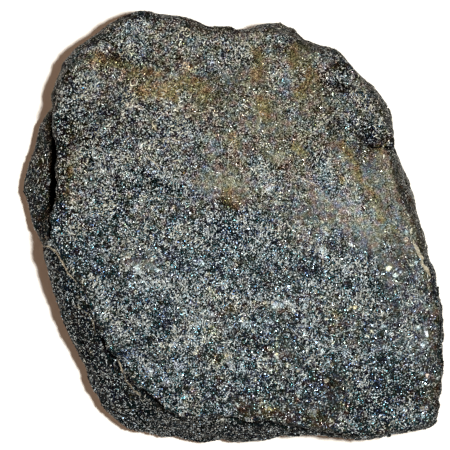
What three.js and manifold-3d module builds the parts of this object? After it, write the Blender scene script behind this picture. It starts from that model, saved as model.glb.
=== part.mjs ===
// A lump of chrome ore: one broken slab of granular chromite rock, lying on its flattest side.
// Millimetres, +Z up. The origin is on the surface that the slab lies on, under the middle of its
// bounding box. +Y points to the slab's narrow, worn end and -X to the side with the shelf.
import * as THREE from 'three';
import { ImprovedNoise } from 'three/addons/math/ImprovedNoise.js';
import { mergeVertices } from 'three/addons/utils/BufferGeometryUtils.js';
import Module from 'manifold-3d';

const wasm = await Module();
wasm.setup();

// Driving dimensions.
const CROWN = 43; // height of the highest part of the upper face
const GIRTH_HEIGHT = 14; // the outline below is the slab's widest section, at this height
const LEAN = 0.07; // how far the sides lean in above it, per millimetre of height
const CELL = 3.05; // mesh size of the skin
const EDGE_ROUND = 1.6; // how softly broken faces run into each other

// The widest section, clockwise from the left end of the worn edge.
const WORN_EDGE = [
  [-33.9, 64.4], [-29.2, 66.2], [-26.4, 66.7], [-22, 65.4], [-14.5, 65], [-9, 63.3], [-5.8, 62.1],
  [0.1, 61.7], [3.6, 60.3], [9.8, 62.6], [13.3, 64.1], [19.5, 60.7],
];
const RIGHT_SHOULDER = [
  [21.9, 58.3], [28.3, 55.8], [31, 55.8], [34.7, 52.5], [39.7, 46.9], [45.1, 42.7], [49.8, 33.8],
  [50.9, 29.4], [50.4, 25.2],
];
const RIGHT_SIDE = [
  [52.3, 20.5], [56.8, 7.8], [59.1, -0.4], [60.6, -8.1], [64, -19.9], [65.3, -25.5], [65, -33],
  [65.3, -40], [64.3, -55.1], [64, -59.2], [62.3, -61.8],
];
const FRONT_EDGE = [
  [55.3, -63], [43.6, -65.1], [38.4, -65.7], [26.2, -65], [19.2, -65.3], [4, -66.8], [-7.6, -67.2],
  [-13.5, -66.1], [-26, -65.7], [-30.3, -64.9],
];
const LEFT_BREAK = [
  [-37.5, -58.1], [-43, -49.6], [-46.8, -40.3], [-50.2, -32.2], [-54.5, -22], [-57.5, -10.1],
  [-58.7, -5.8],
];
const SHELF_EDGE = [
  [-61.9, 1.3], [-62.6, 5], [-64.4, 11.3], [-64.1, 14.7], [-61.4, 23.8], [-59.3, 31.8],
  [-56.5, 35.5],
];
const LEFT_SHOULDER = [
  [-54.9, 42.1], [-51.7, 50.4], [-45.8, 56.4], [-37.1, 62.5],
];
const OUTLINE = [
  ...WORN_EDGE, ...RIGHT_SHOULDER, ...RIGHT_SIDE, ...FRONT_EDGE, ...LEFT_BREAK, ...SHELF_EDGE,
  ...LEFT_SHOULDER,
];

// The upper face: how far it falls from its crown, over what distance from the edge.
const DOME = { drop: 4.5, reach: 34 };
const SHOULDER = { drop: 3, reach: 6.5 };
const FRONT_FALL = { from: -4, slope: 0.055 }; // the fresh front half tips forwards
const BACK_FALL = { from: 22, slope: 0.11 }; // the worn end tips back
const FOLD = { from: [-45, 34], to: [58, -8], width: 13, height: 1.3 }; // a low swell across it

// Lines on the upper face along which it steps down to a lower face that slopes away outwards.
const FAR = 90; // well outside the slab
const SHELF_JOINT = [
  [-54.1, 38.5], [-54.6, 33.1], [-54, 29.2], [-52.9, 23.1], [-53.3, 11], [-54.1, 5.9],
  [-55.5, -2], [-57.2, -5.8],
];
const BENCH_RIM = [
  [-57.2, -5.8], [-54.4, -5.7], [-52.7, -6.9], [-48.2, -14], [-45, -19.8], [-43.6, -24],
  [-41.1, -27.4], [-39.9, -32.2], [-33.6, -39.7], [-32.4, -43.9], [-29.6, -46.7], [-23.3, -51.6],
  [-21.2, -54.9], [-17.3, -56.6], [-9.4, -57.9], [-2.7, -56.4], [3.9, -59.1], [14.2, -59.4],
  [23.9, -61.2], [35.1, -62.8],
];
const RIGHT_BEVEL = [
  [49.5, 23.4], [48.9, 17.4], [51.7, 10.1], [56.3, -0.5], [59, -11.3], [60.7, -14.6],
];

// Each step's drop and the slope below it: first along the slab's sides, then along its front.
const STEPS = [
  { plan: [...SHELF_JOINT, [-FAR, -5.8], [-FAR, 38.5]], drop: [17, 17], slope: [0.3, 0.3] },
  { plan: [...BENCH_RIM, [60, -FAR], [-FAR, -FAR], [-FAR, -5.8]], drop: [1.3, 2.8], slope: [0.95, 1.9] },
  { plan: [...RIGHT_BEVEL, [FAR, -20], [FAR, 28]], drop: [0.6, 0.6], slope: [1.7, 1.7] },
];
const STEP_ROUND = 0.8;
const FRONT_REACH = { from: [-36, -20], to: [22, 40] }; // the bench is a front one between these, in x

// The open joint at the foot of the step behind the shelf.
const JOINT_GAP = { halfWidth: 1, floor: 12.5, ceiling: 25, outwards: 0.5 };

// Breaks in the sides, each touching the widest section at its point. Below, they lean in to the
// foot of the slab; above, they take off the edge of the upper face.
const BREAKS = [
  { at: [65.3, -25.5, 22], facing: [0.84, 0.12, -0.42] },
  { at: [64.3, -55, 11], facing: [0.9, -0.24, -0.75] },
  { at: [58.5, 2, 13], facing: [0.9, 0.26, -0.95] },
  { at: [47, 40, 20], facing: [0.72, 0.46, -0.4] },
  { at: [33, 54, 12], facing: [0.5, 0.74, -0.9] },
  { at: [13.3, 64, 21], facing: [0.08, 0.9, -0.5] },
  { at: [-26.4, 66.7, 14], facing: [-0.1, 0.86, -0.7] },
  { at: [-45.8, 56.4, 19], facing: [-0.66, 0.66, -0.42] },
  { at: [-56, 39, 12], facing: [-0.9, 0.28, -0.8] },
  { at: [-64.4, 11.3, 10], facing: [-0.9, -0.02, -0.9] },
  { at: [-54.5, -22, 15], facing: [-0.92, -0.34, -0.5] },
  { at: [-43, -49.6, 9], facing: [-0.78, -0.42, -0.8] },
  { at: [-30.3, -64.9, 16], facing: [-0.4, -0.86, -0.5] },
  { at: [-2, -67.2, 10], facing: [0.05, -0.9, -0.85] },
  { at: [43.6, -65.1, 17], facing: [0.2, -0.9, -0.42] },
  { at: [64.2, -59, 24], facing: [0.8, -0.6, 0.4] },
  { at: [50.9, 29.4, 30], facing: [0.9, 0.5, 0.55] },
  { at: [-52.5, 48, 27], facing: [-0.8, 0.4, 0.4] },
  { at: [24, 57.6, 27], facing: [0.3, 0.86, 0.45] },
];

// Ledges in the sides: what is out beyond the wall and below the roof has broken away.
const LEDGES = [
  {
    wall: { at: [34, -61, 14], facing: [0.12, -1, -0.2] },
    roof: { at: [34, -65, 15], facing: [0.34, 0, -1] },
  },
  {
    wall: { at: [56, -8, 12], facing: [0.95, 0.3, -0.35] },
    roof: { at: [62, -14, 19], facing: [0, -0.3, -1] },
  },
  {
    wall: { at: [-44, -40, 10], facing: [-0.9, -0.4, -0.3] },
    roof: { at: [-48, -36, 14], facing: [0, 0.25, -1] },
  },
  {
    wall: { at: [-20, 61, 12], facing: [-0.3, 0.95, -0.2] },
    roof: { at: [-24, 66, 17], facing: [-0.2, 0, -1] },
  },
];

// Hollows where flakes have come off: spheres pressed into the upper face and into the sides.
const TOP_SCARS = [
  { over: [35.2, 46.8], radius: 6.5, depth: 2.3 },
  { over: [44, 29.4], radius: 7.5, depth: 3 },
  { over: [-21.5, -50.5], radius: 5, depth: 1.8 },
  { over: [8, -34], radius: 42, depth: 1.4 },
  { over: [4.7, -28.4], radius: 11, depth: 0.9 },
  { over: [-19, 14.9], radius: 14, depth: 0.9 },
  { over: [-43, 45], radius: 26, depth: 1.8 },
  { over: [4.8, 57], radius: 9, depth: 1.9 },
];
const SIDE_SCARS = [
  { centre: [84, -38, 11], radius: 21 },
  { centre: [72, 22, 22], radius: 19 },
  { centre: [40, 74, 14], radius: 20 },
  { centre: [-4, 84, 16], radius: 22 },
  { centre: [-66, 62, 12], radius: 19 },
  { centre: [-70, -38, 9], radius: 20 },
  { centre: [-55, -79, 20], radius: 22 },
  { centre: [24, -83, 14], radius: 20 },
];
const ROUGHNESS = [
  { size: 19, height: 0.9 },
  { size: 8, height: 0.75 },
];
const FOOT_ROUGHNESS = { size: 13, height: 2.4, below: 15 };
const SCAR_ROUND = 1;
const BELOW_GROUND = 5; // how far the rough skin runs on under the flat cut
const SNAP = 0.45; // skin this near the flat cut is moved onto it
const GRID = { low: [-76, -77, -12], high: [75, 76, CROWN + 8] };

const noise = new ImprovedNoise();
const { smoothstep, lerp } = THREE.MathUtils;

function segmentDistance([ax, ay], [bx, by], x, y) {
  const [ux, uy] = [bx - ax, by - ay];
  const along = ((x - ax) * ux + (y - ay) * uy) / (ux * ux + uy * uy);
  const t = Math.min(1, Math.max(0, along));
  return Math.sqrt((x - ax - t * ux) ** 2 + (y - ay - t * uy) ** 2);
}

// Signed distance in plan to a closed polygon, negative inside.
function polygonDistance(polygon, x, y) {
  let nearest = Infinity;
  let inside = false;
  polygon.forEach((b, i) => {
    const a = polygon.at(i - 1);
    nearest = Math.min(nearest, segmentDistance(a, b, x, y));
    const crosses = a[1] > y !== b[1] > y;
    if (crosses && x < a[0] + ((y - a[1]) * (b[0] - a[0])) / (b[1] - a[1])) inside = !inside;
  });
  return inside ? -nearest : nearest;
}

// The larger of two distances, rounded where they meet: the solid inside both.
function meet(a, b, round) {
  const h = Math.max(round - Math.abs(a - b), 0) / round;
  return Math.max(a, b) + h * h * round * 0.25;
}

// Height of the upper face before anything is broken off it.
function upperFace(x, y, depthInside) {
  const dome = DOME.drop * (1 - smoothstep(depthInside, 0, DOME.reach));
  const shoulder = SHOULDER.drop * (1 - smoothstep(depthInside, 0, SHOULDER.reach)) ** 2;
  const front = FRONT_FALL.slope * Math.max(0, FRONT_FALL.from - y);
  const back = BACK_FALL.slope * Math.max(0, y - BACK_FALL.from);
  const fold = Math.exp(-((segmentDistance(FOLD.from, FOLD.to, x, y) / FOLD.width) ** 2)) - 1;
  return CROWN - dome - shoulder - front - back + FOLD.height * fold;
}

// Takes off what is above a step's lower face, inside the step's plan.
function stepDown(d, x, y, z, top, { plan, drop, slope }) {
  const front = smoothstep(x, ...FRONT_REACH.from) * (1 - smoothstep(x, ...FRONT_REACH.to));
  const outside = polygonDistance(plan, x, y);
  const fall = lerp(...slope, front);
  const face = (z - top + lerp(...drop, front) - fall * outside) / Math.sqrt(1 + fall ** 2);
  return meet(d, Math.min(-outside, face), STEP_ROUND);
}

function planeOf({ at, facing }) {
  const normal = new THREE.Vector3(...facing).normalize();
  return new THREE.Plane().setFromNormalAndCoplanarPoint(normal, new THREE.Vector3(...at));
}

function scarSpheres() {
  const pressed = TOP_SCARS.map(({ over: [x, y], radius, depth }) => {
    const face = upperFace(x, y, -polygonDistance(OUTLINE, x, y));
    return { centre: [x, y, face + radius - depth], radius };
  });
  const sphereOf = ({ centre, radius }) => new THREE.Sphere(new THREE.Vector3(...centre), radius);
  return [...pressed, ...SIDE_SCARS].map(sphereOf);
}

const scars = scarSpheres();
const breaks = BREAKS.map(planeOf);
const ledges = LEDGES.map(({ wall, roof }) => [planeOf(wall), planeOf(roof)]);

function roughness(x, y, z) {
  const fine = ROUGHNESS.map(({ size, height }) => height * noise.noise(x / size, y / size, z / size));
  const { size, height, below } = FOOT_ROUGHNESS;
  const foot = (1 - smoothstep(z, 0, below)) * height * noise.noise(x / size, y / size, z / size + 40);
  return fine[0] + fine[1] + foot;
}

// Distance to the skin of the slab, negative inside. It runs on a little below z = 0.
function slab(x, y, z) {
  const outside = polygonDistance(OUTLINE, x, y);
  const top = upperFace(x, y, -outside);
  const spot = new THREE.Vector3(x, y, z);
  let d = meet(outside + LEAN * Math.max(0, z - GIRTH_HEIGHT), z - top, EDGE_ROUND);
  for (const plane of breaks) d = meet(d, plane.distanceToPoint(spot), EDGE_ROUND);
  for (const step of STEPS) d = stepDown(d, x, y, z, top, step);
  for (const [wall, roof] of ledges) {
    d = meet(d, Math.min(wall.distanceToPoint(spot), roof.distanceToPoint(spot)), STEP_ROUND);
  }
  for (const scar of scars) d = meet(d, -scar.distanceToPoint(spot), SCAR_ROUND);
  return Math.max(d + roughness(x, y, z), -BELOW_GROUND - z);
}

const AXES = [[1, 0, 0], [0, 1, 0], [0, 0, 1]];
const CORNERS = [0, 1, 2, 3, 4, 5, 6, 7].map((n) => [n & 1, (n >> 1) & 1, n >> 2]);
const CELL_EDGES = CORNERS.flatMap((corner) => AXES
  .filter((axis) => axis.every((step, k) => corner[k] + step < 2))
  .map((axis) => [corner, corner.map((c, k) => c + axis[k])]));
const RING = [[0, 0], [1, 0], [1, 1], [0, 1]];

function eachPlace(first, count, visit) {
  for (let k = first; k < count[2]; k += 1) {
    for (let j = first; j < count[1]; j += 1) {
      for (let i = first; i < count[0]; i += 1) visit([i, j, k]);
    }
  }
}

// Moves a point onto the zero level, along the field's slope and at most half a cell each time.
function settle(field, point) {
  const probe = 0.05;
  const flattest = 0.2; // keeps the move short where the field hardly slopes
  for (let turn = 0; turn < 3; turn += 1) {
    const value = field(...point);
    const rise = AXES.map((axis) => {
      const ahead = point.clone().addScaledVector(new THREE.Vector3(...axis), probe);
      return (field(...ahead) - value) / probe;
    });
    const slope = new THREE.Vector3(...rise);
    const move = slope.multiplyScalar(-value / Math.max(slope.lengthSq(), flattest));
    point.add(move.clampLength(0, CELL / 2));
  }
  return point;
}

// Where the corners of a grid square lie in and out by turns, the skin would pinch itself: the corner
// that is in by the least goes out. Returns how many corners were changed.
function openPinches(values, count, at) {
  let changed = 0;
  eachPlace(0, count.map((n) => n - 1), ([i, j, k]) => {
    AXES.forEach((axis, n) => {
      const [u, v] = [AXES[(n + 1) % 3], AXES[(n + 2) % 3]];
      const square = RING.map(([a, b]) => at([i, j, k].map((m, c) => m + a * u[c] + b * v[c])));
      const inside = square.filter((corner) => values[corner] < 0);
      const apart = values[square[0]] < 0 === values[square[2]] < 0;
      if (inside.length !== 2 || !apart) return;
      const shallow = values[inside[0]] > values[inside[1]] ? inside[0] : inside[1];
      values[shallow] = 1e-3;
      changed += 1;
    });
  });
  return changed;
}

// A closed mesh over the zero level of a distance field: one point in each grid cell that the level
// passes through, and one four-sided face, as two triangles, across each grid edge that it crosses.
function skinOf(field, low, high) {
  const count = low.map((start, k) => Math.ceil((high[k] - start) / CELL) + 1);
  const cells = count.map((n) => n - 1);
  const at = ([i, j, k]) => (k * count[1] + j) * count[0] + i;
  const moved = (from, step) => from.map((n, k) => n + step[k]);
  const place = (spot) => new THREE.Vector3(...spot.map((n, k) => low[k] + n * CELL));
  const values = new Float64Array(count[0] * count[1] * count[2]);
  eachPlace(0, count, (spot) => {
    values[at(spot)] = field(...place(spot));
  });
  while (openPinches(values, count, at));

  const points = [];
  const pointOf = new Map();
  eachPlace(0, cells, (cell) => {
    const crossings = CELL_EDGES.flatMap(([from, to]) => {
      const [a, b] = [moved(cell, from), moved(cell, to)];
      const [va, vb] = [values[at(a)], values[at(b)]];
      return va < 0 === vb < 0 ? [] : [place(a).lerp(place(b), va / (va - vb))];
    });
    if (!crossings.length) return;
    const middle = crossings.reduce((sum, p) => sum.add(p), new THREE.Vector3());
    pointOf.set(at(cell), points.length);
    points.push(settle(field, middle.divideScalar(crossings.length)));
  });

  const index = [];
  eachPlace(1, cells, (spot) => {
    AXES.forEach((axis, n) => {
      const inside = values[at(spot)] < 0;
      if (inside === values[at(moved(spot, axis))] < 0) return;
      const [u, v] = [AXES[(n + 1) % 3], AXES[(n + 2) % 3]];
      const ring = RING.map(([a, b]) => pointOf.get(at(spot.map((m, k) => m - a * u[k] - b * v[k]))));
      if (!inside) ring.reverse();
      const [p, q, r, s] = ring;
      const even = points[p].distanceTo(points[r]) <= points[q].distanceTo(points[s]);
      index.push(...(even ? [p, q, r, p, r, s] : [p, q, s, q, r, s]));
    });
  });
  const geometry = new THREE.BufferGeometry();
  const flat = points.flatMap((p) => [p.x, p.y, p.z]);
  geometry.setAttribute('position', new THREE.Float32BufferAttribute(flat, 3));
  geometry.setIndex(index);
  return geometry;
}

// Vertices within reach of the ground plane go onto it, so that the flat cut leaves no slivers.
function snapToGround(geometry, reach) {
  const position = geometry.getAttribute('position');
  for (let i = 0; i < position.count; i += 1) {
    if (Math.abs(position.getZ(i)) < reach) position.setZ(i, 0);
  }
  return geometry;
}

function solidOf(geometry) {
  const bare = geometry.clone();
  bare.deleteAttribute('normal');
  bare.deleteAttribute('uv');
  const merged = mergeVertices(bare, 1e-4);
  return new wasm.Manifold(new wasm.Mesh({
    numProp: 3,
    vertProperties: merged.getAttribute('position').array,
    triVerts: new Uint32Array(merged.getIndex().array),
  }));
}

function geometryOf(solid) {
  const mesh = solid.getMesh();
  const geometry = new THREE.BufferGeometry();
  geometry.setAttribute('position', new THREE.BufferAttribute(mesh.vertProperties, 3));
  geometry.setIndex(new THREE.BufferAttribute(mesh.triVerts, 1));
  geometry.computeVertexNormals();
  return geometry;
}

// The open joint behind the shelf: a narrow gap along its line that closes at both ends.
function jointGap() {
  const { halfWidth, floor, ceiling, outwards } = JOINT_GAP;
  const line = new THREE.SplineCurve(SHELF_JOINT.map(([x, y]) => new THREE.Vector2(x - outwards, y)));
  const steps = 14;
  const blunt = 0.6; // under 1, the gap's ends are blunter than a lens's
  const side = (sign) => Array.from({ length: steps - 1 }, (_, n) => {
    const t = (n + 1) / steps;
    const along = line.getTangentAt(t);
    const half = sign * halfWidth * Math.sin(Math.PI * t) ** blunt;
    return line.getPointAt(t).add(new THREE.Vector2(along.y, -along.x).multiplyScalar(half));
  });
  const plan = new THREE.Shape([line.getPoint(0), ...side(1), line.getPoint(1), ...side(-1).reverse()]);
  const gap = new THREE.ExtrudeGeometry(plan, { depth: ceiling - floor, bevelEnabled: false });
  return gap.translate(0, 0, floor);
}

function makeOre() {
  const skin = snapToGround(skinOf(slab, GRID.low, GRID.high), SNAP);
  const ground = new THREE.BoxGeometry(2 * FAR, 2 * FAR, 40).translate(0, 0, -20);
  const solid = solidOf(skin).subtract(solidOf(ground)).subtract(solidOf(jointGap()));
  const geometry = geometryOf(solid);
  geometry.computeBoundingBox();
  const middle = geometry.boundingBox.getCenter(new THREE.Vector3());
  geometry.translate(-middle.x, -middle.y, 0);
  const material = new THREE.MeshStandardMaterial({ color: 0x3e4346, roughness: 0.55, metalness: 0.25 });
  const ore = new THREE.Mesh(geometry, material);
  ore.name = 'ore';
  return ore;
}

const part = new THREE.Group();
part.add(makeOre());
export default part;
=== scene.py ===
# Chrome ore: one broken slab of chromite rock, lying on a pale table and seen from straight above.
# Blender works in metres here, and the lengths in the dictionaries are in millimetres.
import itertools

import bmesh
import bpy
import numpy as np
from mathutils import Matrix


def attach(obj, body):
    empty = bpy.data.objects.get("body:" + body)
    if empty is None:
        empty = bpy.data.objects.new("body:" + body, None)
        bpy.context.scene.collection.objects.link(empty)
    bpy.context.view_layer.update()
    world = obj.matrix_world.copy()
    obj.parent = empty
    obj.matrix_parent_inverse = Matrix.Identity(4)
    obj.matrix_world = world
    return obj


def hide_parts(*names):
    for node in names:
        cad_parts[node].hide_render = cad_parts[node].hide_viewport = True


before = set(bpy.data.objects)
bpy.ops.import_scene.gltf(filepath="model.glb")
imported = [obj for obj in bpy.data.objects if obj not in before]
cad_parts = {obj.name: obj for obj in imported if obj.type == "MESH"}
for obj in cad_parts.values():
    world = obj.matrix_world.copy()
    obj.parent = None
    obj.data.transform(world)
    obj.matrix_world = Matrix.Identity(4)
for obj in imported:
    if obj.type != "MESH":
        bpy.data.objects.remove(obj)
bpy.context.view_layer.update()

mm = 0.001


# Small tools for numbers that depend on place

def scatter(cell, salt):
    # the same whole-number cell always gives the same number from 0 to 1
    c = cell.astype(np.int64).astype(np.uint32)
    h = c[..., 0] * np.uint32(374761393) + c[..., 1] * np.uint32(668265263)
    h = h + c[..., 2] * np.uint32(2246822519) + np.uint32(salt * 3266489917 % 2**32)
    h = (h ^ (h >> np.uint32(15))) * np.uint32(2246822519)
    h = (h ^ (h >> np.uint32(13))) * np.uint32(3266489917)
    return ((h ^ (h >> np.uint32(16))) & np.uint32(0xFFFFFF)) / float(0x1000000)


def rolling(points, size, salt):
    # smooth rise and fall between -1 and 1, about size across
    p = points / size + salt * 7.31
    base = np.floor(p)
    t = p - base
    ease = t * t * (3 - 2 * t)
    total = np.zeros(len(p))
    for corner in itertools.product((0, 1), repeat=3):
        share = np.prod(np.where(corner, ease, 1 - ease), axis=1)
        total += share * scatter(base + np.array(corner), salt)
    return total * 2 - 1


def waves(points, layers):
    # rolling layers added up, each with its size, strength and salt
    return sum(strength * rolling(points, size, salt) for size, strength, salt in layers)


def chips(points, size, salt):
    # splits space into random chips: distance to the nearest chip's middle, the way to it, and its cell
    p = points / size
    base = np.floor(p)
    best = np.full(len(p), 9.0)
    way = np.zeros_like(p)
    owner = np.zeros_like(p)
    for step in itertools.product((-1, 0, 1), repeat=3):
        cell = base + np.array(step)
        spot = cell + np.stack([scatter(cell, salt + k) for k in range(3)], axis=1)
        gap = p - spot
        d = np.sqrt((gap * gap).sum(axis=1))
        closer = d < best
        best = np.where(closer, d, best)
        way[closer] = gap[closer]
        owner[closer] = cell[closer]
    return best * size, way * size, owner


def smooth(x, low, high):
    t = np.clip((x - low) / (high - low), 0, 1)
    return t * t * (3 - 2 * t)


def unit(v):
    return v / np.linalg.norm(v, axis=1)[:, None]


def alongPath(points, path):
    # in plan: distance to a path, the same with a minus sign on its right hand, and how far along, 0 to 1
    flat = points[:, :2]
    path = np.array(path, float)
    steps = np.linalg.norm(path[1:] - path[:-1], axis=1)
    best = np.full(len(flat), 1e9)
    side = np.zeros(len(flat))
    along = np.zeros(len(flat))
    walked = 0
    for a, b, step in zip(path[:-1], path[1:], steps):
        t = np.clip(((flat - a) @ (b - a)) / step**2, 0, 1)
        gap = flat - (a + t[:, None] * (b - a))
        d = np.hypot(gap[:, 0], gap[:, 1])
        closer = d < best
        turn = (b - a)[0] * gap[:, 1] - (b - a)[1] * gap[:, 0]
        best = np.where(closer, d, best)
        side = np.where(closer, np.sign(turn) * d, side)
        along = np.where(closer, (walked + t * step) / steps.sum(), along)
        walked += step
    return best, side, along


raggedEdge = {"reach": 1.5, "waves": [(3.1, 0.8, 71), (1.3, 0.6, 73)]}


def patches(points, spots):
    # 1 along each path and 0 past its radius, with a ragged edge
    ragged = raggedEdge["reach"] + waves(points, raggedEdge["waves"])
    share = np.zeros(len(points))
    for path, radius in spots:
        d = alongPath(points, path)[0]
        share = np.maximum(share, smooth(1 - d / (radius * ragged), 0, 1))
    return share


# The stone

stone = {
    "node": "ore",
    "meshSize": 0.64,
    "facets": [  # flat breaks of the rock: how wide, how far they tilt
        {"size": 9.0, "tilt": 0.11, "salt": 11},
        {"size": 4.0, "tilt": 0.14, "salt": 23},
        {"size": 1.9, "tilt": 0.12, "salt": 29},
    ],
    "facetStep": 0.4,  # how far facets are set up or down, as a share of their tilt
    "swell": [(6.0, 0.22, 33), (2.6, 0.10, 37)],  # size, height and salt
    "lumps": {"size": 5.6, "height": 0.75, "radius": 0.75, "least": 0.4, "mean": 0.45,
              "onWorn": 0.25, "onGlitter": 1.4, "salt": 31},
    "grainBumps": {"size": 1.25, "height": 0.08, "salt": 41},
    "pits": {"size": 7.5, "share": 0.35, "radius": 1.5, "least": 0.6, "depth": 0.9, "salt": 53},
    "coarseFrom": (-16, 18),  # where the coarse lower half begins and is full
    "coarseEdge": [(17, 9, 61), (6, 5, 63)],
    "topFrom": (0.3, 0.8),  # how far the surface faces up, from side to top
    "sideCalm": 0.55,  # how strong the relief stays on the upright sides
    "wornCalm": 0.55,  # how much of it is worn away on the upper half
    "baseFade": (0.2, 1.6),  # heights between which the relief sets in above the flat base
    "crackReach": 1.3,
}


def placed(name, data):
    thing = bpy.data.objects.new(name, data)
    bpy.context.scene.collection.objects.link(thing)
    return thing


def copiedStone():
    slab = placed("chromiteSlab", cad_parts[stone["node"]].data.copy())
    remesh = slab.modifiers.new("evenMesh", "REMESH")
    remesh.mode = "VOXEL"
    remesh.voxel_size = stone["meshSize"] * mm
    depsgraph = bpy.context.evaluated_depsgraph_get()
    even = bpy.data.meshes.new_from_object(slab.evaluated_get(depsgraph))
    slab.modifiers.clear()
    slab.data = even
    return slab


def readPoints(mesh):
    co = np.empty(len(mesh.vertices) * 3)
    mesh.vertices.foreach_get("co", co)
    return co.reshape(-1, 3)


def writePoints(mesh, co):
    mesh.vertices.foreach_set("co", co.ravel())
    mesh.update()


def readNormals(mesh):
    normals = np.empty(len(mesh.vertices) * 3)
    mesh.vertex_normals.foreach_get("vector", normals)
    return normals.reshape(-1, 3)


def writeField(mesh, name, values):
    layer = mesh.attributes.new(name, "FLOAT", "POINT")
    layer.data.foreach_set("value", values.astype(np.float32))


def relaxed(mesh, values, turns):
    # each turn moves every value halfway to the mean of its neighbours
    edges = np.empty(len(mesh.edges) * 2, np.int32)
    mesh.edges.foreach_get("vertices", edges)
    a, b = edges.reshape(-1, 2).T
    size = len(values)
    count = np.bincount(a, minlength=size) + np.bincount(b, minlength=size)
    values = values.copy()
    for _ in range(turns):
        for k in range(values.shape[1]):
            v = values[:, k]
            total = np.bincount(a, v[b], size) + np.bincount(b, v[a], size)
            values[:, k] = v * 0.5 + total / count * 0.5
    return values


def coarseHalf(points):
    # 1 on the rough, bluish lower half of the slab, 0 on the worn upper half
    return smooth(-(points[:, 1] + waves(points, stone["coarseEdge"])), *stone["coarseFrom"])


def breakSurface(mesh):
    normals = readNormals(mesh)
    co = readPoints(mesh) / mm
    up = smooth(normals[:, 2], *stone["topFrom"])
    rough = up + (1 - up) * stone["sideCalm"]
    lift = np.zeros(len(co))
    for facet in stone["facets"]:
        _, way, cell = chips(co, facet["size"], facet["salt"])
        tilt = np.stack([scatter(cell, facet["salt"] + 5 + k) for k in range(3)], axis=1) - 0.5
        lift += (way * tilt).sum(axis=1) * facet["tilt"] * 2
        step = facet["size"] * facet["tilt"] * stone["facetStep"]
        lift += (scatter(cell, facet["salt"] + 9) - 0.5) * step
    lift += waves(co, stone["swell"])
    lumps = stone["lumps"]
    d, _, cell = chips(co, lumps["size"], lumps["salt"])
    dome = np.clip(1 - (d / lumps["size"] / lumps["radius"]) ** 2, 0, 1)
    dome *= lumps["least"] + scatter(cell, lumps["salt"] + 5)
    lumpy = np.maximum(coarseHalf(co), lumps["onGlitter"] * patches(co, zones["glitter"]))
    show = lumps["onWorn"] + (1 - lumps["onWorn"]) * lumpy
    lift += (dome - lumps["mean"]) * lumps["height"] * show
    bumps = stone["grainBumps"]
    d, _, cell = chips(co, bumps["size"], bumps["salt"])
    lift += (0.5 - d / bumps["size"]) * bumps["height"] * 2
    lift += (scatter(cell, bumps["salt"] + 5) - 0.5) * bumps["height"]
    pits = stone["pits"]
    d, _, cell = chips(co, pits["size"], pits["salt"])
    chosen = scatter(cell, pits["salt"] + 5) < pits["share"]
    reach = pits["radius"] * (pits["least"] + scatter(cell, pits["salt"] + 6))
    lift -= np.where(chosen, np.clip(1 - (d / reach) ** 2, 0, 1), 0) * pits["depth"]
    grounded = smooth(co[:, 2], *stone["baseFade"])
    worn = 1 - stone["wornCalm"] * np.clip(1 - lumpy, 0, 1) * up
    ratio, depth = nearestCrack(co)
    lift = lift * rough * worn - np.clip(stone["crackReach"] - np.abs(ratio), 0, 1) * depth
    co += normals * (lift * grounded)[:, None]
    co[:, 2] = np.maximum(co[:, 2], 0)
    writePoints(mesh, co * mm)


# Where the stone changes colour: paths in plan with a radius, in millimetres

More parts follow.
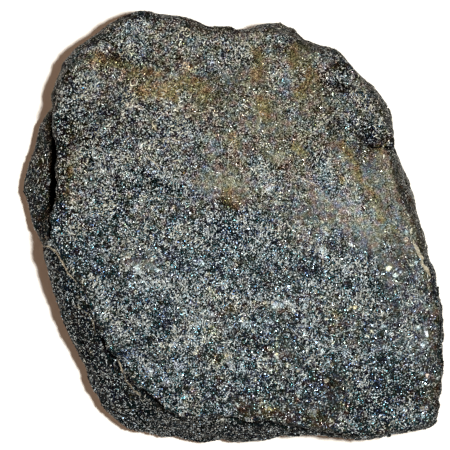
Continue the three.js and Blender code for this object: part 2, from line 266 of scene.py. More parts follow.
zones = {
    "warm": [  # tan and brown weathering over the worn half
        ([(-40, 50), (-28, 47)], 6),
        ([(-30, 44), (-14, 46), (-6, 38)], 10),
        ([(-26, 41), (-16, 42)], 5),
        ([(8, 56), (9, 38), (14, 20)], 7),
        ([(21, 56), (24, 44), (32, 30)], 7),
        ([(33, 26), (38, 16), (46, 4)], 2),
        ([(-49, 26), (-46, 2)], 5),
        ([(0, 28), (2, 10)], 4),
        ([(18, 27), (23, 22)], 5),
        ([(-1, -24.5), (9, -22.5), (18, -25.4)], 1.8),
        ([(-12, 60), (4, 58), (18, 60)], 3),
        ([(28, -25), (37, -31)], 4),
        ([(4, -55), (28, -59)], 3),
        ([(-5, -41), (-3, -45)], 2),
        ([(36, -44), (35, -56)], 1),
        ([(43, 37), (49, 12), (58, -8), (62, -34), (64, -58)], 1.6),
    ],
    "rust": [  # small orange and brown stains
        ([(8.4, 53), (8.0, 46)], 2.2),
        ([(18.8, 55), (18.7, 50)], 1.6),
        ([(23.2, 48), (24, 44), (20.8, 41)], 2.2),
        ([(-26, 41.6), (-17, 40.2)], 3.4),
        ([(-40, 51.4), (-32, 49.6), (-29, 47)], 2.4),
        ([(-14, 44), (-8, 40)], 3.4),
        ([(-26, 47.6), (-23, 46.6)], 1.8),
        ([(9, 38.6), (9.6, 34)], 2.2),
        ([(0.2, 27.4), (0.8, 24.6)], 1.6),
        ([(19.5, 24.2), (21.8, 21.8)], 2.2),
        ([(33, 25.4), (37, 20.2), (39, 14), (43.6, 9.4)], 1.0),
        ([(33.2, 15.2), (33.8, 13.6)], 0.9),
        ([(44, 24), (45, 22.6)], 1.2),
        ([(43.8, 4), (45.2, 2.4)], 1.2),
        ([(48.4, 0.4), (49.8, -0.8)], 1.1),
        ([(-48.6, 18), (-49.6, 10)], 1.1),
        ([(-23.8, 31.5), (-23.2, 29.8)], 1.1),
        ([(-1.4, 10.4), (0.8, 7)], 2.0),
        ([(34, -63), (38, -63.6)], 1.2),
    ],
    "tan": [  # pale yellowish clumps
        ([(-14, 49), (-11, 47)], 2.6),
        ([(-32, 53), (-29, 52)], 1.6),
        ([(-7, -19), (-4.6, -20.4)], 1.7),
        ([(30, -24.6), (33, -27.4)], 2.0),
        ([(37, -24), (39, -25)], 1.5),
        ([(-5, -41), (-1.4, -38.8)], 1.7),
        ([(9, -53.4), (15, -55)], 1.7),
        ([(-12.6, -41.4), (-12.2, -42.2)], 1.3),
        ([(-6, -28), (-5.4, -31)], 1.5),
        ([(33.8, -53.6), (35, -54.6)], 1.3),
        ([(13.5, -33), (13.7, -38)], 0.7),
        ([(10.2, -41.4), (14.6, -49.2)], 0.8),
    ],
    "blue": [  # steel-blue glitter
        ([(-10.5, -9.6), (-8.6, -10.6)], 3.4),
        ([(-27, -39), (-17, -41)], 6),
        ([(-48.4, -17), (-47, -19.6)], 2.2),
        ([(-32.5, 40), (-30, 38.6)], 2.0),
        ([(13.6, 58.6), (17.4, 56.4)], 1.7),
        ([(30, 46), (31.6, 45)], 1.7),
        ([(37, 32), (41.5, 29)], 3.4),
        ([(28.2, 18.6), (28.2, 12.2)], 2.0),
        ([(-43, 5.5), (-41.8, 3.6)], 1.7),
        ([(-5.4, 25.4), (-4, 24.2)], 1.9),
        ([(-14, 30), (-11, 28.6)], 2.2),
        ([(-3.4, 51), (-1.8, 50.2)], 1.4),
        ([(-25, 16.6), (-19, 13)], 3.2),
        ([(4.2, -28), (5.6, -29)], 2.2),
        ([(4.5, -43.5), (10, -48)], 3.4),
        ([(-22, -40), (-19, -43)], 3.0),
        ([(44, -42), (52, -58)], 6),
        ([(-2, 0), (2, -3)], 4),
        ([(-46.4, 12), (-45.4, 10.8)], 1.4),
    ],
    "filmed": [  # a dull weathered skin over the grains of the coarse half
        ([(44, 20), (48, 8), (52, -6), (57, -30), (60, -56)], 8),
        ([(40, -2), (48, -14), (51, -32)], 7),
        ([(50, -46), (60, -54)], 8),
        ([(54, -6), (58, -30), (61, -56)], 5),
        ([(2, -53), (14, -55), (28, -58)], 4),
        ([(1, -24.5), (9, -22.5), (16, -26)], 2.5),
        ([(14, -36), (22, -41)], 3.5),
        ([(31, -41), (32, -57)], 3.5),
        ([(50, -31), (46, -34)], 4),
        ([(-8, 14), (0, 10)], 4),
        ([(-30, -10), (-24, -13)], 4),
        ([(26, 6), (38, 0)], 6),
    ],
    "glitter": [  # fresh bluish grains
        ([(-14, -6), (8, -8), (8, -18), (-10, -17)], 7),
        ([(-53, 36), (-52, 25), (-52, 12), (-52.4, 2), (-51, -6)], 2.6),
        ([(13, 59), (17, 56)], 3.2),
        ([(-2, 57), (4, 51)], 4.5),
        ([(29, 46), (33, 44)], 3.4),
        ([(36, 32), (46, 26)], 5),
        ([(38, 40), (42, 36)], 3.4),
        ([(26, 20), (31, 15)], 4),
        ([(9, 18.5), (13, 16)], 3.4),
        ([(-2, 3), (4, 0)], 4),
        ([(-38, 55), (-29, 52)], 4),
        ([(-32.5, 40), (-30.5, 38)], 3),
        ([(-50, 45), (-47.5, 33)], 4),
        ([(-51.5, 30), (-49.5, 25)], 2.4),
        ([(-38, 23), (-36, 8)], 6),
        ([(-27, 17), (-19, 12)], 5),
        ([(-14, 30), (-11, 28)], 3),
        ([(-44, 2), (-40, -4)], 5),
    ],
    "dark": [  # darker places without pale grains: fresh breaks, and painted shade in hollows and beside the left crack
        ([(-43.5, 26), (-43, 20)], 2.6),
        ([(24, -44), (30, -47)], 3.2),
        ([(-50, 46), (-49, 38), (-50, 30)], 3.5),
        ([(-53, 4), (-52, -4), (-50, -8)], 3.0),
        ([(44, -48), (54, -50)], 6),
        ([(9, -48), (14, -50)], 3),
        ([(-4, 1), (3, -3)], 3),
        ([(-26.6, 16.6), (-23, 14.4), (-18, 12.2)], 1.9),
        ([(-4, 8.6), (0, 5.6)], 1.6),
        ([(32, 50), (36, 47)], 1.8),
        ([(41, 29), (47, 26)], 3.4),
        ([(13.6, 55), (16, 53.4)], 1.4),
        ([(29, 43), (33, 41.6)], 1.8),
        ([(3, 53), (5, 50)], 1.2),
        ([(-23.6, -48.6), (-19, -51.4)], 3.0),
        ([(-36, 52.5), (-34, 50.5)], 1.8),
        ([(4, -34), (10, -36)], 2.2),
        ([(-46, -28), (-44, -32)], 2.4),
        ([(46, -44), (54, -47)], 5),
        ([(36, -54), (50, -58)], 3.4),
        ([(-53.4, 36), (-52.4, 25), (-52.2, 12), (-53, 4)], 3.4),
        ([(-53, 26), (-52.2, 20), (-52.4, 10)], 2.4),
    ],
    "dim": [  # broad places painted a little darker
        ([(30, -59), (58, -57)], 4),
        ([(-43, 25), (-42, 20)], 5),
        ([(-16, -57), (-10, -59)], 4),
        ([(-42, 38), (-38, 26), (-28, 28)], 5),
        ([(-38, 36), (-34, 30)], 5),
        ([(-20, 33), (-14, 30)], 4),
        ([(10, -4), (15, -2)], 5),
        ([(38, -20), (40, -24)], 6),
        ([(-8, -20), (0, -22)], 6),
        ([(-16, -40), (-14, -42)], 4),
        ([(-50, 33), (-49.6, 18), (-50, 2)], 4),
        ([(-44, 24), (-43, 8), (-44, -4)], 5),
        ([(-37, 22), (-34, 4)], 6),
        ([(-36, 52), (-22, 50)], 5),
        ([(-8, 44), (-4, 40)], 6),
        ([(20, 52), (22, 48)], 4),
        ([(28, 44), (32, 30)], 6),
        ([(38, 34), (41, 22)], 6),
        ([(-14, -2), (4, -4)], 6),
        ([(28, -12), (40, -13)], 6),
        ([(-36, -21), (-23, -23)], 5),
        ([(18, -30), (24, -32)], 6),
        ([(0, -34), (5, -37)], 5),
        ([(8, -49), (14, -50)], 6),
        ([(30, -42), (40, -43)], 6),
        ([(46, -48), (58, -52)], 9),
        ([(26, -57), (34, -58)], 5),
        ([(56, -58), (60, -54)], 6),
    ],
    "light": [  # broad places painted a little lighter
        ([(2, -12), (5, -14)], 4),
        ([(20, -3), (30, -5)], 5),
        ([(48, -12), (55, -22), (55, -34)], 6),
        ([(36, -30), (42, -32)], 5),
        ([(10, -30), (12, -32)], 4),
        ([(9, 15), (13, 13)], 5),
        ([(-28, -9), (-24, -12)], 4),
        ([(-12, -29), (-8, -30)], 4),
        ([(28, 16), (36, 10), (40, 2)], 5),
        ([(2, 58.5), (14, 60)], 4),
        ([(-48.4, -17), (-47, -19.6)], 2.2),
        ([(-10.5, -9.6), (-8.6, -10.6)], 3.6),
        ([(28, -2), (32, -5)], 4),
        ([(-27, 6), (-22, 4)], 4),
        ([(14, -22), (16, -24)], 4),
        ([(-18, -20), (-14, -22)], 4),
    ],
    "pale": [  # white flecks
        ([(-39.8, 55.8), (-39.4, 55.2)], 1.0),
        ([(-50.6, 27), (-50.2, 26.6)], 0.8),
        ([(9, 12.4), (12, 11.8)], 0.9),
        ([(-16.4, -41.4), (-15.8, -42)], 1.6),
        ([(-26.4, -42.4), (-25.2, -43.6)], 1.5),
        ([(-28.8, -12), (-28, -12.6)], 1.0),
        ([(-9.8, -10), (-9, -10.6)], 1.2),
        ([(-20, -46.6), (-19, -47.4)], 1.0),
        ([(-7, -25), (-5.6, -26.4)], 1.2),
        ([(3.8, -28.2), (5, -29)], 1.5),
        ([(24.2, -55.2), (24.6, -55.6)], 1.1),
        ([(26.8, -5.6), (27.6, -8.4)], 1.2),
        ([(12.8, -23.6), (16.8, -22)], 1.0),
        ([(-1, -40), (0.6, -42.4)], 1.0),
        ([(22, -29), (23, -28)], 1.1),
        ([(33.8, -37), (35, -38)], 1.0),
    ],
}

# The rims of the broken lower edge, as paths in plan
rims = {
    "bench": [(-57.2, -5.8), (-52.7, -6.9), (-45, -19.8), (-41.1, -27.4), (-39.9, -32.2), (-33.6, -39.7),
              (-29.6, -46.7), (-21.2, -54.9), (-9.4, -57.9), (3.9, -59.1), (23.9, -61.2), (46, -63)],
    "shelf": [(-53.6, 45), (-54.6, 33.1), (-52.9, 23.1), (-53.3, 11), (-55.5, -2), (-57.2, -5.8)],
    "fade": (-0.6, 0.8),  # how far inside and outside a rim the face turns to a fresh break
    # how far inside the bench rim the painted shade reaches, and how ragged its edge is
    "shadeWidth": 17,
    "shadeEdge": [(9, 3, 87)],
}

# Thin pale veins and short threads: path, width in the middle, and how strongly it shows
veins = [
    ([(-58.6, -5.8), (-55.6, -5.6), (-54, -7), (-51.4, -10.7), (-49.4, -14), (-47.2, -17)], 0.48, 0.8),
    ([(-48, -23.6), (-45.6, -24.8), (-43.4, -26.5), (-42.5, -28.2), (-42, -30.5), (-42.2, -32.6)],
     0.30, 0.6),
    ([(-34.5, -39.9), (-33.6, -42.1), (-32.8, -44.1)], 0.52, 0.95),
    ([(-32.8, -44.1), (-32.3, -46.4), (-30.3, -48.2), (-28.4, -50.2), (-27.7, -51.7)], 0.40, 0.6),
    ([(-17, -23.2), (-14.8, -25), (-13.4, -28)], 0.3, 0.6),
    ([(-6.6, -17.5), (-4.8, -20.4)], 0.34, 0.6),
    ([(28.4, -4.6), (27.2, -8.4), (27.6, -11.6)], 0.36, 0.6),
    ([(-28.7, 37.1), (-27.6, 36.6), (-26.3, 35.4)], 0.30, 0.7),
    ([(-17.1, 36.5), (-20.5, 34.5), (-23.1, 32.4), (-23.7, 31.5)], 0.26, 0.6),
    ([(-23.9, 31.6), (-23.4, 30.6), (-22.6, 29.2)], 0.5, 0.9),
    ([(-30.4, 27.7), (-31.9, 26.2), (-33.2, 24.2)], 0.34, 0.7),
    ([(-34.8, 28.5), (-35.6, 25.9)], 0.3, 0.6),
    ([(-25.2, 21.4), (-23.5, 19.9), (-21.4, 17.5)], 0.42, 0.85),
    ([(-17.9, 19.9), (-15.3, 20.5)], 0.4, 0.85),
    ([(-17.7, 19), (-16.6, 17.7)], 0.34, 0.7),
    ([(-18.8, 27.4), (-16.8, 26.4), (-14.9, 26.4)], 0.34, 0.7),
    ([(-19.7, 10), (-16.5, 9.2), (-13.6, 9.3)], 0.26, 0.55),
    ([(-22.7, 9.4), (-21, 8.2)], 0.4, 0.7),
    ([(-13.6, 34.8), (-9, 34.6), (-5.4, 35.4)], 0.26, 0.5),
    ([(20.9, 14.9), (23.2, 13.9), (25.6, 12.8)], 0.34, 0.8),
    ([(9.9, 23.8), (11.2, 22.4), (12.7, 21.6)], 0.26, 0.5),
    ([(54.8, -3.4), (55.8, -6), (57.4, -9.6), (59.2, -12.8), (60.4, -14.8)], 0.9, 0.85),
]
veinWander = [(1.7, 0.22, 83)]

# Open cracks: path, half the width at the middle, and how deep
cracks = [
    ([(-55, 40), (-55.2, 33), (-54.6, 28.8), (-53.8, 25.4)], 0.45, 1.5),
    ([(-54.6, 28.8), (-53.8, 22.5), (-54, 18.6), (-54.3, 14.6), (-54.7, 10.9), (-55.2, 3)], 0.95, 2.2),
    ([(-55, 6), (-55.2, 1.2), (-54.6, -4.2)], 0.4, 1.0),
    ([(-41, -32.4), (-39.4, -34.6), (-36.4, -39.5), (-33.4, -43.4)], 0.28, 0.6),
    ([(-32, -44.6), (-29.6, -47.6), (-25, -51.4), (-21.2, -55), (-18.4, -56.6), (-15, -57.8)], 0.62, 1.7),
    ([(-24.4, -51.8), (-22.8, -53.4), (-20.4, -55.6)], 0.9, 1.2),
    ([(-3.2, -56.8), (3.8, -59.6), (14.2, -59.9), (24, -61.7), (35.3, -63.2)], 0.45, 1.0),
    ([(-47.4, -33.4), (-45.4, -36.4), (-43.4, -41)], 0.35, 0.7),
    ([(41, 24.8), (44, 24.2), (47, 24.6), (50.4, 23.4)], 0.4, 1.2),
    ([(31.6, 45.4), (34.6, 43), (36, 40.2)], 0.28, 0.6),
]
crackWander = [(2.3, 0.35, 84)]
crackWidths = [(1.9, 0.3, 85)]
offPath = 9.0  # a share of the half width that is well off every vein and crack


def tapered(along, sharpness, least):
    # full width in the middle of a path, thin at both ends
    return np.sqrt(np.clip(np.minimum(along, 1 - along) * sharpness, least, 1))


def nearestCrack(points):
    # how far from the middle of the nearest crack, as a share of its half width, and its depth
    ratio = np.full(len(points), offPath)
    depth = np.zeros(len(points))
    wander = waves(points, crackWander)
    uneven = 1 + waves(points, crackWidths)
    for path, half, deep in cracks:
        _, side, along = alongPath(points, path)
        taper = tapered(along, 6, 0.002)
        here = (side + wander) / (half * taper * uneven)
        nearer = np.abs(here) < np.abs(ratio)
        ratio = np.where(nearer, here, ratio)
        depth = np.where(nearer, deep * taper, depth)
    return np.clip(ratio, -offPath, offPath), depth


# How the stone is weathered, by zone, slope and place
weather = {
    "evenOut": 10,  # rounds of smoothing before slopes are read
    "hollowRounds": 14,  # the same to find hollows, whose full depth is hollowDepth
    "hollowDepth": 0.5,
    "zonesFrom": (0.1, 0.5),  # how far up the surface must face for a zone to begin and to be full
    "steep": (0.45, 0.95),  # the same for slopes that count as fresh breaks, whose darkening is partly painted shade
    "film": 0.13,  # the dull film everywhere on top
    "filmWorn": (0.12, 0.40),  # more of it on the worn half, on the left and how much more on the right
    "filmRight": (-30, 4),  # where left turns into right
    "filmWaves": [(4.6, 0.32, 101), (1.9, 0.22, 103)],
    "filmOn": {"filmed": 0.55, "warm": 0.2, "rust": 0.5, "glitter": -0.65},
    "filmFresh": 0.5,
    "bevelBare": (0.6, 0.35),  # how much of both films the lower ledge has lost
    "steepVein": (0.3, 0.5),  # width left on an upright side, and the slope where it is full again
}


def paint(mesh, co):
    # writes how strongly each zone shows at each place
    now = readPoints(mesh) / mm
    normals = unit(relaxed(mesh, readNormals(mesh), weather["evenOut"]))
    fields = {}
    for name, spots in zones.items():
        fields[name] = patches(co, spots) * smooth(normals[:, 2], *weather["zonesFrom"])
    fields["coarse"] = coarseHalf(co)
    fromBench = alongPath(co, rims["bench"])[1]
    outsideBench = smooth(-fromBench, *rims["fade"])
    outsideShelf = smooth(-alongPath(co, rims["shelf"])[1], *rims["fade"])
    # fresh breaks: steep sides and the ledges outside the rims, painted darker both as fresh rock and as
    # painted shade on faces turned from the lamp
    steep = 1 - smooth(normals[:, 2], *weather["steep"])
    fields["fresh"] = np.maximum(steep, np.maximum(outsideBench, outsideShelf))
    # painted shade: darker toward the bench rim, fading out shadeWidth millimetres inside it
    fields["rimShade"] = 1 - smooth(fromBench + waves(co, rims["shadeEdge"]), 0, rims["shadeWidth"])
    # painted shade and highlight: places sunk below their smoothed neighbours are painted darker, raised
    # ones lighter
    sunk = ((relaxed(mesh, now, weather["hollowRounds"]) - now) * normals).sum(axis=1)
    fields["hollowShade"] = np.clip(sunk / weather["hollowDepth"], -1, 1)

    # the film is thickest on the right of the worn half
    left, right = weather["filmWorn"]
    side = left + right * smooth(co[:, 0], *weather["filmRight"])
    film = weather["film"] + side * (1 - fields["coarse"]) + waves(co, weather["filmWaves"])
    for name, more in weather["filmOn"].items():
        film += more * fields[name]
    bevel = np.minimum(fields["fresh"], outsideBench)
    onTop, onFresh = weather["bevelBare"]
    film = np.maximum(film * (1 - onTop * bevel), weather["filmFresh"] * fields["fresh"] - onFresh * bevel)
    fields["film"] = np.clip(film, 0, 1)

    # veins: how far from the middle of the nearest one, as a share of half its width
    nearest = np.full(len(co), offPath)
    fields["veinShow"] = np.zeros(len(co))
    least, full = weather["steepVein"]
    slope = least + (1 - least) * smooth(normals[:, 2], 0, full)  # so a vein keeps its width down a side
    wander = waves(co, veinWander)
    for path, width, show in veins:
        d, signed, along = alongPath(co, path)
        ratio = (signed + wander) / (width / 2 * tapered(along, 5, 0.02) * slope)
        pastEnd = d > np.abs(signed) + 0.01
        ratio = np.where(pastEnd, offPath, ratio)
        nearer = np.abs(ratio) < np.abs(nearest)
        nearest = np.where(nearer, np.clip(ratio, -offPath, offPath), nearest)
        fields["veinShow"] = np.where(nearer, show, fields["veinShow"])
    fields["vein"] = nearest
    fields["crack"] = nearestCrack(co)[0]
    for name, values in fields.items():
        writeField(mesh, name, values)
    return fields, normals


def makeStone():
    slab = copiedStone()
    mesh = slab.data
    writePoints(mesh, relaxed(mesh, readPoints(mesh), 2))
    before = readPoints(mesh) / mm
    breakSurface(mesh)
    fields, normals = paint(mesh, before)
    mesh.materials.clear()
    mesh.materials.append(rockFinish())
    mesh.polygons.foreach_set("use_smooth", [True] * len(mesh.polygons))
    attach(slab, "root")
    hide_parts(stone["node"])
    mesh.calc_loop_triangles()
    print("stone broken and painted")
    return slab, fields, normals


def thinBase(mesh):
    # the flat base needs only a few faces
    work = bmesh.new()
    work.from_mesh(mesh)
    almostZero = 0.001 * mm
    flat = {f for f in work.faces if all(v.co.z < almostZero for v in f.verts)}
    inner = [e for e in work.edges if e.link_faces and all(f in flat for f in e.link_faces)]
    middle = [v for v in work.verts if v.link_faces and all(f in flat for f in v.link_faces)]
    bmesh.ops.dissolve_limit(work, angle_limit=0.02, verts=middle, edges=inner)
    big = [f for f in work.faces if len(f.verts) > 4]
    bmesh.ops.triangulate(work, faces=big)
    work.to_mesh(mesh)
    work.free()
    mesh.calc_loop_triangles()
    print("stone:", len(mesh.loop_triangles), "triangles")


# Loose-looking grains, each half sunk in the stone

third = 2 * np.pi / 3
toCorner = 0.577  # from the middle of a three-sided face with sides of 1 to its corners
toFace = 0.41  # from the middle of the crystal to the faces it lies on and shows
shapes = {
    # an eight-faced crystal that lies on one of its faces
    "crystal": {
        "corners": [(np.cos(third * k + turn) * toCorner, np.sin(third * k + turn) * toCorner, z)
                    for z, turn in ((-toFace, np.pi / 3), (toFace, 0)) for k in range(3)],
        "faces": [(2, 1, 0), (3, 4, 5), (0, 1, 4), (1, 2, 5), (2, 0, 3), (0, 4, 3), (1, 5, 4), (2, 3, 5)],
    },
    # a thin spindle
    "sliver": {
        "corners": [(-0.5, 0, 0), (0, -0.5, 0.1), (0, 0, 0.5), (0, 0.5, 0.1), (0, 0, -0.5), (0.5, 0, 0)],
        "faces": [(0, 1, 2), (0, 2, 3), (0, 3, 4), (0, 4, 1), (5, 2, 1), (5, 3, 2), (5, 4, 3), (5, 1, 4)],
    },
}

# "coarser" is how much bigger they grow in the coarse half, "evenly" how many lie outside the clusters,
# "fresh" and "dark" how many are missing there
grains = {
    "chromiteGrains": {
        "shape": "crystal", "count": 24500, "seed": 5,
        "length": (0.20, 0.38), "width": (0.18, 0.34), "height": (0.26, 0.40),
        "lean": 0.5, "sunk": 0.06, "coarser": 0.35, "evenly": 0.5,
        "greys": [(0.0, 0.006), (0.5, 0.016), (0.8, 0.05), (1.0, 0.14)],
        "cool": (0.70, 0.98, 1.25), "warm": (1.1, 1.0, 0.84), "roughness": 0.2, "metal": 1.0,
    },
    "paleGrains": {
        "shape": "crystal", "count": 11000, "seed": 6,
        "length": (0.18, 0.36), "width": (0.18, 0.32), "height": (0.22, 0.36),
        "lean": 0.5, "sunk": 0.05, "coarser": 0.3, "evenly": 0.12, "fresh": 0.6, "dark": 0.7,
        "greys": [(0.0, 0.12), (0.6, 0.30), (1.0, 0.70)],
        "cool": (0.88, 1.0, 1.06), "warm": (1.05, 1.0, 0.86), "roughness": 0.3, "metal": 0.0,
    },
    "paleSlivers": {
        "shape": "sliver", "count": 5200, "seed": 7,
        "length": (0.6, 2.1), "width": (0.24, 0.36), "height": (0.18, 0.28),
        "lean": 0.12, "sunk": -0.03, "coarser": 0.0, "fresh": 0.85, "dark": 0.6,
        "greys": [(0.0, 0.14), (0.5, 0.36), (0.85, 0.60), (1.0, 0.90)],
        "cool": (0.92, 1.0, 1.0), "warm": (1.05, 1.0, 0.74), "roughness": 0.35, "metal": 0.0,
    },
}


# Where grains lie and what tints them
sowing = {
    "heights": (0.8, 2.0),  # between these they set in above the table
    "offVein": 1.6,
    "offCrack": 1.1,
    "filmGap": 1.1,  # the nearer to 1, the fewer under a full film
    "onPale": 2.0,
    "clusters": [(4.2, 1.0, 91), (1.9, 0.5, 93)],
    "clusterEdge": (-0.5, 0.8),
    "bundles": [(5.2, 1.0, 107), (2.2, 0.4, 109)],
    "bundleEdge": (-0.3, 0.7),
    "turns": [(11, 1.3, 95)],  # which way slivers lie
    "turnStart": -0.5,
    "turnSpread": 0.8,
    "hue": 0.55,
    "hueOn": {"coarse": -0.35, "warm": 0.25},
    "hueWaves": [(5.0, 0.45, 97)],
    "hueSpread": 0.12,
    "chartRange": (0.02, 0.98),
    "chartSpot": [(-0.004, -0.003), (0.004, -0.003), (0, 0.005)],  # a tiny three-sided spot
}


def wanted(kind, fields, co):
    # how thickly a kind of grain is sown at each place
    above = smooth(co[:, 2], *sowing["heights"]) * (np.abs(fields["vein"]) > sowing["offVein"])
    above *= np.abs(fields["crack"]) > sowing["offCrack"]
    bare = sowing["filmGap"] - fields["film"]
    plan = grains[kind]
    cluster = smooth(waves(co, sowing["clusters"]), *sowing["clusterEdge"])
    if kind == "chromiteGrains":
        return above * (plan["evenly"] + (1 - plan["evenly"]) * cluster) * bare
    if kind == "paleGrains":
        calm = 1 - np.maximum(plan["fresh"] * fields["fresh"], plan["dark"] * fields["dark"])
        sparkle = (plan["evenly"] + 1 - cluster) * bare
        return above * calm * (sparkle + sowing["onPale"] * fields["pale"] + fields["tan"])
    bundled = smooth(waves(co, sowing["bundles"]), *sowing["bundleEdge"])
    calm = (1 - plan["fresh"] * fields["fresh"]) * (1 - plan["dark"] * fields["dark"])
    return above * calm * bare * bundled


def placesOn(mesh, share, normals, count, rng):
    # random places on the surface, and which way it faces there
    corners = np.empty(len(mesh.loop_triangles) * 3, np.int32)
    mesh.loop_triangles.foreach_get("vertices", corners)
    corners = corners.reshape(-1, 3)
    co = readPoints(mesh) / mm
    a, b, c = co[corners[:, 0]], co[corners[:, 1]], co[corners[:, 2]]
    weight = np.linalg.norm(np.cross(b - a, c - a), axis=1) * share[corners].mean(axis=1)
    chosen = rng.choice(len(corners), count, p=weight / weight.sum())
    parts = rng.dirichlet((1, 1, 1), count)[:, :, None]
    spots = (co[corners[chosen]] * parts).sum(axis=1)
    facing = (normals[corners[chosen]] * parts).sum(axis=1)
    nearest = corners[chosen, 0]
    return spots, unit(facing), nearest


def sow(slab, fields, normals, name):
    plan = grains[name]
    rng = np.random.default_rng(plan["seed"])
    co = readPoints(slab.data) / mm
    count = plan["count"]
    spots, facing, nearest = placesOn(slab.data, wanted(name, fields, co), normals, count, rng)
    bigger = 1 + plan["coarser"] * fields["coarse"][nearest]
    anyWay = unit(rng.normal(size=(count, 3)))
    across = unit(np.cross(facing, anyWay))
    up = unit(facing + across * (rng.uniform(-1, 1, count) * plan["lean"])[:, None])
    if plan["shape"] == "sliver":  # slivers near each other lie almost the same way
        turn = waves(spots, sowing["turns"]) + sowing["turnStart"]
        turn += rng.normal(0, sowing["turnSpread"], count)
        anyWay = np.stack([np.cos(turn), np.sin(turn), 0.01 * turn], axis=1)
    right = unit(np.cross(anyWay, up))
    front = np.cross(up, right)
    scale = [rng.uniform(*plan[k], count) * bigger for k in ("length", "width", "height")]
    corners = np.array(shapes[plan["shape"]]["corners"])
    place = spots - facing * plan["sunk"]
    points = place[:, None, :] + sum(
        corners[None, :, k, None] * scale[k][:, None, None] * axis[:, None, :]
        for k, axis in enumerate((right, front, up)))
    faces = np.array(shapes[plan["shape"]]["faces"])
    faces = (faces[None] + np.arange(count)[:, None, None] * len(corners)).reshape(-1, 3)
    mesh = bpy.data.meshes.new(name)
    mesh.from_pydata((points.reshape(-1, 3) * mm).tolist(), [], faces.tolist())

    # each grain takes its grey and its tint from one spot of a chart
    shade = rng.uniform(*sowing["chartRange"], count)
    hue = sowing["hue"] + waves(spots, sowing["hueWaves"])
    for zone, change in sowing["hueOn"].items():
        hue += change * fields[zone][nearest]
    hue += rng.uniform(-sowing["hueSpread"], sowing["hueSpread"], count)
    hue = np.clip(hue, *sowing["chartRange"])
    writeField(mesh, "shade", np.repeat(shade, len(corners)))
    writeField(mesh, "hue", np.repeat(hue, len(corners)))
    chart = mesh.uv_layers.new(name="OFBake")
    spot = np.repeat(np.stack([shade, hue], axis=1), len(faces) // count * 3, axis=0)
    spot = spot.reshape(-1, 3, 2) + np.array(sowing["chartSpot"])
    chart.data.foreach_set("uv", spot.ravel().astype(np.float32))

    mesh.materials.append(grainFinish(name, plan))
    piece = placed(name, mesh)
    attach(piece, "root")
    print(name + ":", len(faces), "triangles")


# Short calls for building materials

def newFinish(name):
    material = bpy.data.materials.new(name)
    material.use_nodes = True
    material.node_tree.nodes.clear()
    return material, material.node_tree


def add(tree, kind, inputs=(), **settings):
    node = tree.nodes.new(kind)
    for key, value in settings.items():
        setattr(node, key, value)
    for key, value in dict(inputs).items():
        plug(tree, node.inputs[key], value)
    return node


def plug(tree, socket, value):
    if isinstance(value, bpy.types.NodeSocket):
        tree.links.new(value, socket)
    elif socket.type == "RGBA":
        socket.default_value = (*value, 1)
    elif value is not None:
        socket.default_value = value


def maths(tree, operation, a, b=None, c=None, clamp=False):
    node = add(tree, "ShaderNodeMath", enumerate((a, b, c)), operation=operation, use_clamp=clamp)
    return node.outputs[0]


def times(tree, a, b, clamp=False):
    return maths(tree, "MULTIPLY", a, b, clamp=clamp)


def timesPlus(tree, value, times, plus, clamp=False):
    return maths(tree, "MULTIPLY_ADD", value, times, plus, clamp)


def eitherSide(tree, value):
    # turns 0 to 1 into half below zero and half above
    return maths(tree, "SUBTRACT", value, 0.5)


def vector(tree, operation, a, b=None, scale=None):
    inputs = {0: a, 1: b}
    if scale is not None:
        inputs["Scale"] = scale
    return add(tree, "ShaderNodeVectorMath", inputs, operation=operation).outputs[0]


def mix(tree, share, a, b, blend="MIX"):
    node = add(tree, "ShaderNodeMix", data_type="RGBA", blend_type=blend)
    sockets = {s.identifier: s for s in node.inputs}
    plug(tree, sockets["Factor_Float"], share)
    plug(tree, sockets["A_Color"], a)
    plug(tree, sockets["B_Color"], b)
    return [s for s in node.outputs if s.identifier == "Result_Color"][0]


def stained(tree, share, colour, stain):
    # a share of the colour is multiplied by the stain
    return mix(tree, share, colour, mix(tree, 1.0, colour, stain, "MULTIPLY"))


def greyRamp(tree, value, stops):
    node = add(tree, "ShaderNodeValToRGB", {0: value})
    elements = node.color_ramp.elements
    while len(elements) < len(stops):
        elements.new(0.5)
    for element, (place, grey) in zip(elements, stops):
        element.position = place
        element.color = (grey, grey, grey, 1)
    return node.outputs[0]


def cells(tree, place, size):
    # random chips: Color is three random numbers, and Distance is measured from Position, the chip's middle
    return add(tree, "ShaderNodeTexVoronoi", {"Vector": place, "Scale": 1 / (size * mm)}).outputs


def cloud(tree, place, size, detail, roughness):
    # soft clouds that swing either side of zero
    inputs = {"Vector": place, "Scale": 1 / (size * mm), "Detail": detail, "Roughness": roughness}
    return eitherSide(tree, add(tree, "ShaderNodeTexNoise", inputs).outputs["Fac"])


def split(tree, colour):
    return add(tree, "ShaderNodeSeparateColor", {0: colour}).outputs


def painted(tree, name):
    return add(tree, "ShaderNodeAttribute", attribute_name=name).outputs["Fac"]


def changedBy(tree, value, zones):
    # adds each painted zone, times its own number
    for name, change in zones.items():
        value = timesPlus(tree, painted(tree, name), change, value)
    return value


# The finish of the stone: dark chromite, grey and pale grains, stained by weather

